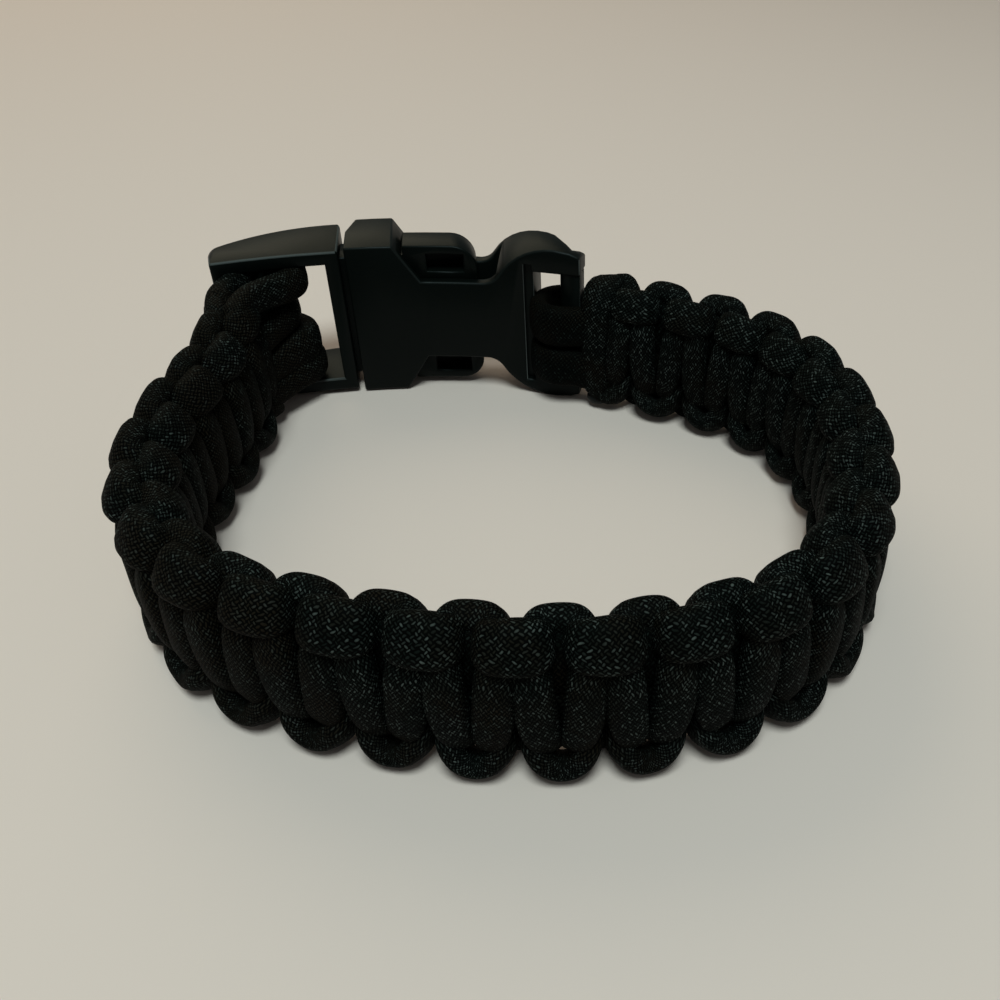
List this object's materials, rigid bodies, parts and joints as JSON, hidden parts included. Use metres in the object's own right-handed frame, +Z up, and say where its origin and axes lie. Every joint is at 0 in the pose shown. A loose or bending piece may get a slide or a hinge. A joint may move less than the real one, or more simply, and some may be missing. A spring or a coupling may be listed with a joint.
{
  "type": "paracord bracelet with side-release buckle",
  "caption": "Closed wrist bracelet: a cobra-knotted paracord band joined by a contoured side-release buckle.",
  "frame": {"origin": "middle of the base of the part's box, on the surface it stands on", "axes": "+Z up along the axis of the wrist opening, -Y towards the front stretch of the band opposite the buckle, +X towards the end of the buckle's socket"},
  "size_m": [0.0816, 0.0756, 0.0218],
  "materials": {
    "cord": "braided nylon sheath, matt",
    "buckle": "moulded, satin"
  },
  "bodies": {
    "root": {"knotted_band": "cord", "plug_wrap_1": "cord", "plug_wrap_2": "cord", "plug_wrap_3": "cord", "plug_wrap_4": "cord", "socket_wrap_upper": "cord", "socket_wrap_lower": "cord", "buckle_plug": "buckle", "buckle_socket": "buckle"}
  },
  "joints": []
}
